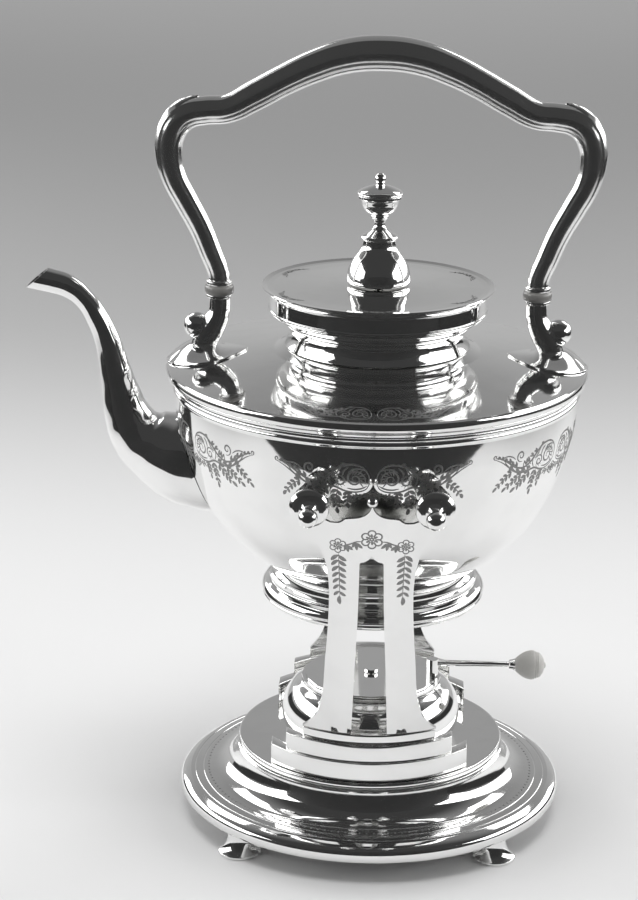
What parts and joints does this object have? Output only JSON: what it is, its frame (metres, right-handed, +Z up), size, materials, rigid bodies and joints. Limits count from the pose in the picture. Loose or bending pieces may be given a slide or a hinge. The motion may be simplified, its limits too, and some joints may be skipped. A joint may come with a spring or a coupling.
{
  "type": "spirit kettle on stand",
  "caption": "Silver spirit kettle with hinged lid and fixed scroll handle, hung on pins between two curved uprights over a spirit burner on a round footed stand.",
  "frame": {"origin": "on the table under the middle of the object's bounding box, 27 mm left of the kettle's own vertical axis seen from the front", "axes": "+X to the right, away from the spout, which points to -X; +Y to the back, where the lid's hinge is; +Z up"},
  "size_m": [0.2389, 0.2158, 0.3374],
  "materials": {
    "silver": "mirror polish",
    "ivory": "smooth satin",
    "cotton": "woven cord"
  },
  "bodies": {
    "stand": {"base_dish": "silver", "foot_front_left": "silver", "foot_front_right": "silver", "foot_back_left": "silver", "foot_back_right": "silver", "plateau": "silver", "plinth_low_front": "silver", "plinth_middle_front": "silver", "plinth_top_front": "silver", "plinth_low_back": "silver", "plinth_middle_back": "silver", "plinth_top_back": "silver", "upright_front": "silver", "upright_back": "silver"},
    "front_left_pin": {"pin_front_left": "silver"},
    "front_right_pin": {"pin_front_right": "silver"},
    "back_left_pin": {"pin_back_left": "silver"},
    "back_right_pin": {"pin_back_right": "silver"},
    "kettle": {"bowl": "silver", "shoulder": "silver", "neck": "silver", "kettle_foot": "silver", "spout": "silver", "lug_front_left": "silver", "lug_front_right": "silver", "lug_back_left": "silver", "lug_back_right": "silver", "pad_left": "silver", "pad_right": "silver", "socket_left": "silver", "socket_right": "silver", "insulator_left": "ivory", "insulator_right": "ivory", "grip": "silver", "cross_pin_low_left": "silver", "cross_pin_high_left": "silver", "cross_pin_low_right": "silver", "cross_pin_high_right": "silver", "hinge_bracket": "silver", "hinge_pin": "silver"},
    "hinged_lid": {"lid": "silver", "lid_bezel": "silver", "lid_leaf": "silver", "finial": "silver", "finial_nut": "silver"},
    "burner": {"font": "silver", "cover_plate": "silver", "cover_screw": "silver", "wick_1": "cotton", "wick_2": "cotton", "wick_3": "cotton", "wick_4": "cotton"},
    "regulator": {"turning_plate": "silver", "lever_rod": "silver", "lever_ferrule": "silver", "lever_knob": "ivory"}
  },
  "joints": [
    {"name": "kettle_tilt", "type": "hinge", "parent": "stand", "child": "kettle", "pos_m": [0.0023, 0, 0.167], "axis": [0, -1, 0], "range_deg": [0, 50]},
    {"name": "lid_hinge", "type": "hinge", "parent": "kettle", "child": "hinged_lid", "pos_m": [0.027, 0.05, 0.2225], "axis": [-1, 0, 0], "range_deg": [0, 100]},
    {"name": "burner_lift", "type": "slide", "parent": "stand", "child": "burner", "axis": [0, 0, 1], "range_m": [0, 0.02]},
    {"name": "regulator_turn", "type": "hinge", "parent": "burner", "child": "regulator", "pos_m": [0.027, 0, 0.0603], "axis": [0, 0, 1], "range_deg": [0, 45]},
    {"name": "front_left_pin_pull", "type": "slide", "parent": "stand", "child": "front_left_pin", "axis": [0, -1, 0], "range_m": [0, 0.0145]},
    {"name": "front_right_pin_pull", "type": "slide", "parent": "stand", "child": "front_right_pin", "axis": [0, -1, 0], "range_m": [0, 0.0145]},
    {"name": "back_left_pin_pull", "type": "slide", "parent": "stand", "child": "back_left_pin", "axis": [0, 1, 0], "range_m": [0, 0.0145]},
    {"name": "back_right_pin_pull", "type": "slide", "parent": "stand", "child": "back_right_pin", "axis": [0, 1, 0], "range_m": [0, 0.0145]}
  ]
}
